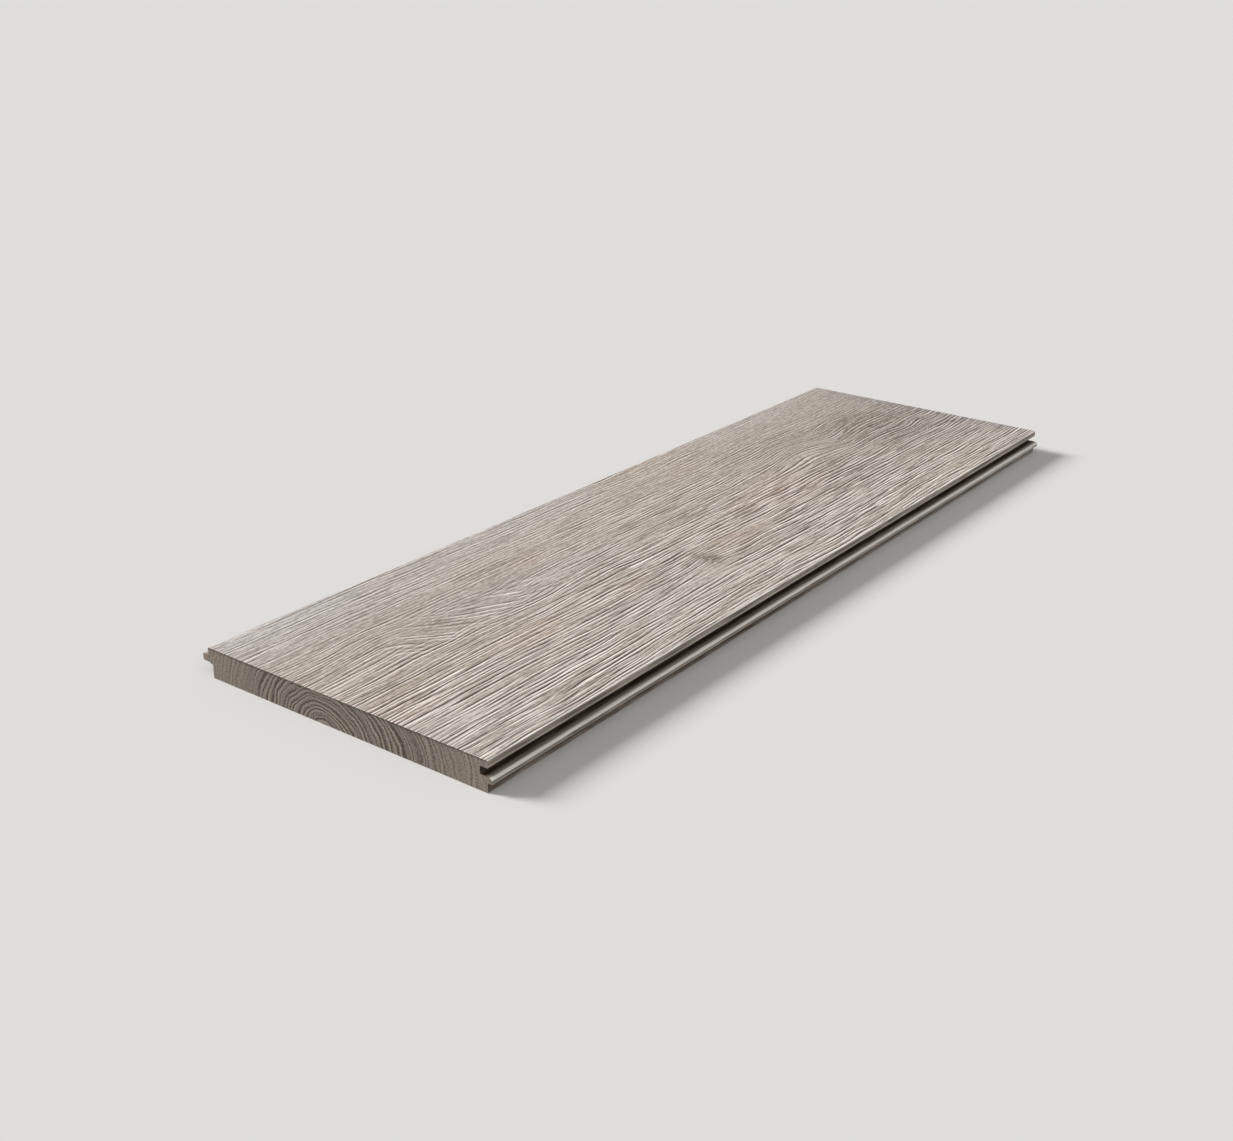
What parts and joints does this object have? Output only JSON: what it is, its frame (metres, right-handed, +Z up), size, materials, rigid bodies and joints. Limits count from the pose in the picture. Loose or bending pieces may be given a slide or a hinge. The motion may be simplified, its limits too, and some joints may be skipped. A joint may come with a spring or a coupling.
{
  "type": "tongue-and-groove floor plank",
  "caption": "Solid wood floor plank with a brushed grey face, a tongue along one long edge and a groove with a projecting lower lip along the other.",
  "frame": {"origin": "centre of the underside: middle of the length, middle of the cover width, on the floor", "axes": "+X along the length, +Y across the width towards the tongue edge (the groove edge faces -Y), +Z up out of the walking face"},
  "size_m": [0.8, 0.2487, 0.021],
  "materials": {
    "grey_washed_timber": "matte"
  },
  "bodies": {
    "root": {"floor_plank": "grey_washed_timber"}
  },
  "joints": []
}
